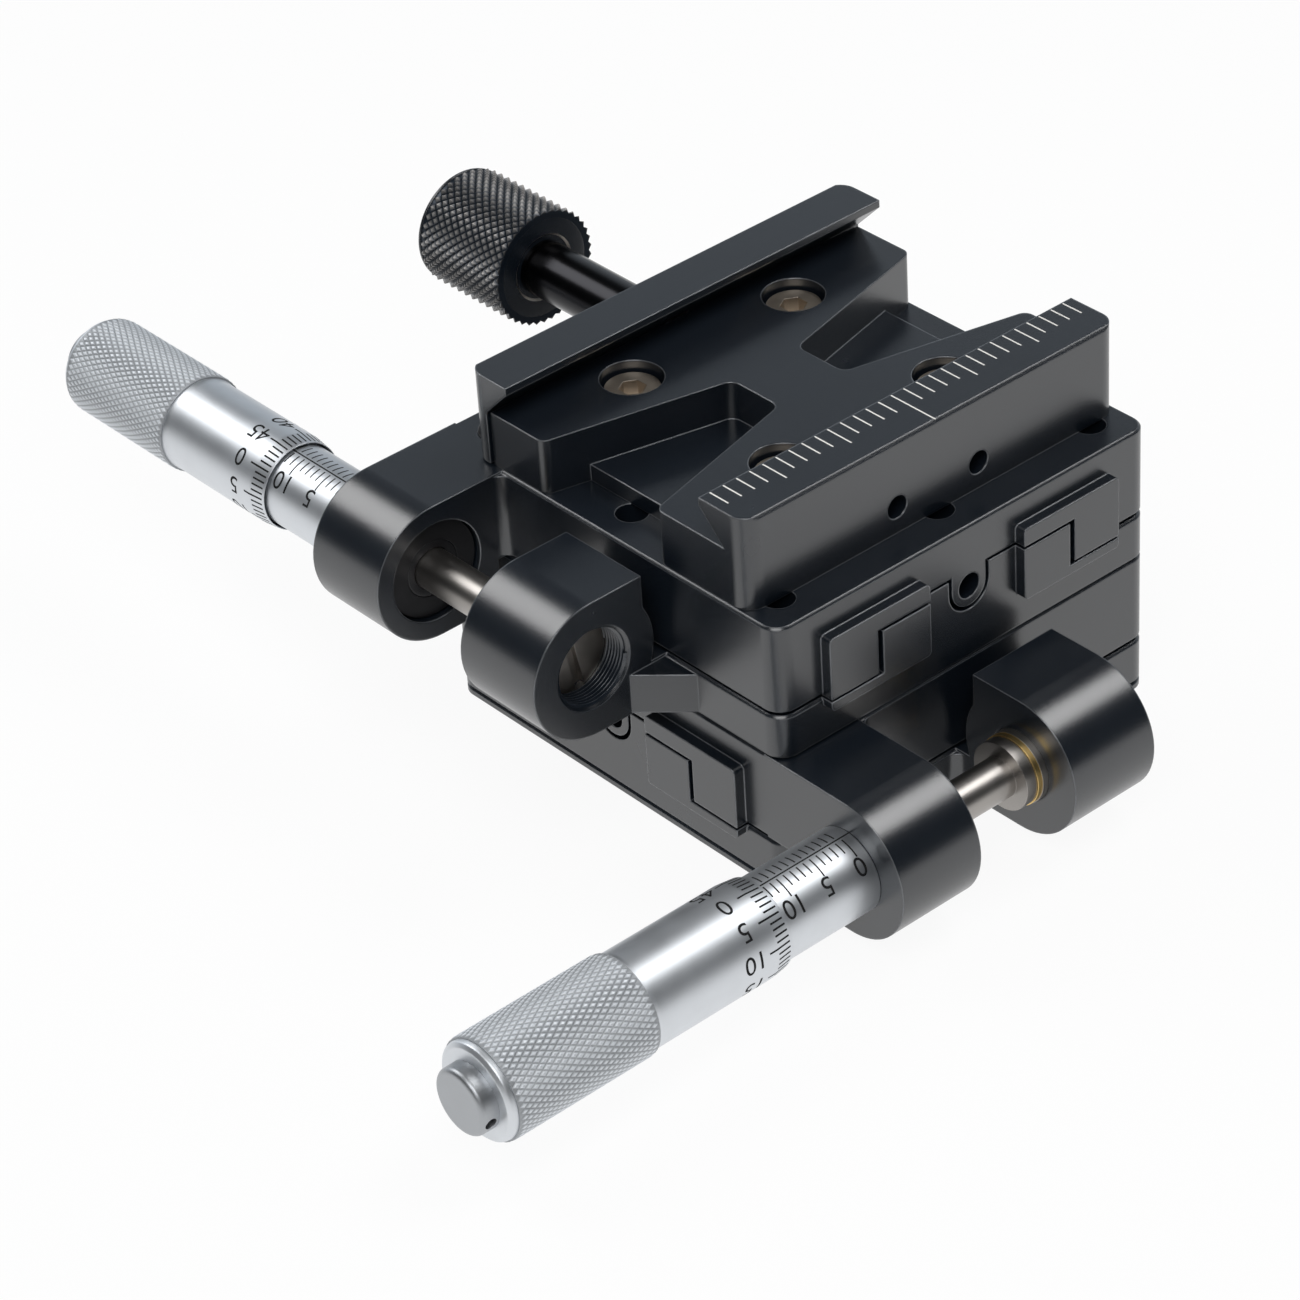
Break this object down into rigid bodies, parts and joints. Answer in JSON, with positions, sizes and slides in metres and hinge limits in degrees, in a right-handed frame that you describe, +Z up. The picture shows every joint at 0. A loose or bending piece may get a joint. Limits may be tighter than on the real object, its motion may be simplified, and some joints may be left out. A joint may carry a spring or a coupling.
{
  "type": "macro focusing rail",
  "caption": "Two crossed micrometer slide stages under a dovetail plate clamp with a screw knob, for fine focusing and framing of a camera.",
  "frame": {"origin": "mouth of the tripod thread, at the centre of the flat underside", "axes": "+X along the upper stage's travel, away from its micrometer head and the clamp knob; +Y along the lower stage's travel, away from its micrometer head; +Z up out of the clamp"},
  "size_m": [0.1369, 0.1188, 0.05],
  "materials": {
    "black_anodised": "satin black anodised, fine bead-blasted grain, bright broken edges",
    "satin_chrome": "satin chrome plated, knurled grip, black filled scale",
    "bright_steel": "turned and ground bright steel",
    "hardened_steel": "ground hardened steel",
    "blackened_steel": "black oxide",
    "brass": "bright turned brass"
  },
  "bodies": {
    "lower_stage_base": {"base_cover_plate": "black_anodised", "cover_screws": "blackened_steel", "tripod_bush": "bright_steel", "lower_base": "black_anodised", "lower_inner_rails": "hardened_steel", "lower_inner_rail_screws": "hardened_steel", "lower_thrust_washer": "brass", "lower_thrust_ring": "bright_steel", "lower_journal_bush": "brass", "lower_bearing_plug": "bright_steel"},
    "lower_cages": {"lower_roller_cages": "brass", "lower_rollers": "hardened_steel"},
    "lower_micrometer": {"lower_spindle": "bright_steel", "lower_spindle_nut": "bright_steel", "lower_thimble": "satin_chrome", "lower_thimble_cap": "satin_chrome"},
    "lower_slide": {"lower_carriage": "black_anodised", "lower_outer_rails": "hardened_steel", "lower_outer_rail_screws": "hardened_steel", "lower_preload_screws": "hardened_steel", "lower_sleeve": "satin_chrome", "lower_sleeve_nut": "blackened_steel", "stage_joining_screws": "hardened_steel", "upper_base": "black_anodised", "upper_inner_rails": "hardened_steel", "upper_inner_rail_screws": "hardened_steel", "upper_thrust_washer": "brass", "upper_thrust_ring": "bright_steel", "upper_journal_bush": "brass", "upper_bearing_plug": "bright_steel"},
    "upper_cages": {"upper_roller_cages": "brass", "upper_rollers": "hardened_steel"},
    "upper_micrometer": {"upper_spindle": "bright_steel", "upper_spindle_nut": "bright_steel", "upper_thimble": "satin_chrome", "upper_thimble_cap": "satin_chrome"},
    "upper_slide": {"upper_carriage": "black_anodised", "upper_outer_rails": "hardened_steel", "upper_outer_rail_screws": "hardened_steel", "upper_preload_screws": "hardened_steel", "upper_sleeve": "satin_chrome", "upper_sleeve_nut": "blackened_steel", "clamp_base": "black_anodised", "clamp_mount_screws": "bright_steel"},
    "clamp_jaw": {"moving_jaw": "black_anodised", "jaw_guide_pins": "blackened_steel"},
    "clamp_drive": {"clamp_screw": "blackened_steel", "jaw_clip": "hardened_steel", "clamp_knob": "black_anodised"}
  },
  "joints": [
    {"name": "lower_thimble_turn", "type": "hinge", "parent": "lower_stage_base", "child": "lower_micrometer", "pos_m": [0.0406, 0, 0.01045], "axis": [0, 1, 0], "range_deg": [-9000, 9000]},
    {"name": "lower_stage_travel", "type": "slide", "parent": "lower_stage_base", "child": "lower_slide", "axis": [0, 1, 0], "range_m": [-0.0125, 0.0125]},
    {"name": "lower_cage_travel", "type": "slide", "parent": "lower_stage_base", "child": "lower_cages", "axis": [0, 1, 0], "range_m": [-0.00625, 0.00625]},
    {"name": "upper_thimble_turn", "type": "hinge", "parent": "lower_slide", "child": "upper_micrometer", "pos_m": [0, -0.0406, 0.02865], "axis": [1, 0, 0], "range_deg": [-9000, 9000]},
    {"name": "upper_stage_travel", "type": "slide", "parent": "lower_slide", "child": "upper_slide", "axis": [1, 0, 0], "range_m": [-0.0125, 0.0125]},
    {"name": "upper_cage_travel", "type": "slide", "parent": "lower_slide", "child": "upper_cages", "axis": [1, 0, 0], "range_m": [-0.00625, 0.00625]},
    {"name": "clamp_jaw_travel", "type": "slide", "parent": "upper_slide", "child": "clamp_jaw", "axis": [1, 0, 0], "range_m": [-0.006, 0.00025]},
    {"name": "clamp_knob_turn", "type": "hinge", "parent": "clamp_jaw", "child": "clamp_drive", "pos_m": [-0.03, 0, 0.0415], "axis": [1, 0, 0], "range_deg": [-2700, 112.5]}
  ],
  "couplings": [
    {"joint": "lower_thimble_turn", "follows": "lower_stage_travel", "rad_per_m": -12566},
    {"joint": "lower_cage_travel", "follows": "lower_stage_travel", "ratio": 0.5},
    {"joint": "upper_thimble_turn", "follows": "upper_stage_travel", "rad_per_m": -12566},
    {"joint": "upper_cage_travel", "follows": "upper_stage_travel", "ratio": 0.5},
    {"joint": "clamp_knob_turn", "follows": "clamp_jaw_travel", "rad_per_m": 7854}
  ]
}
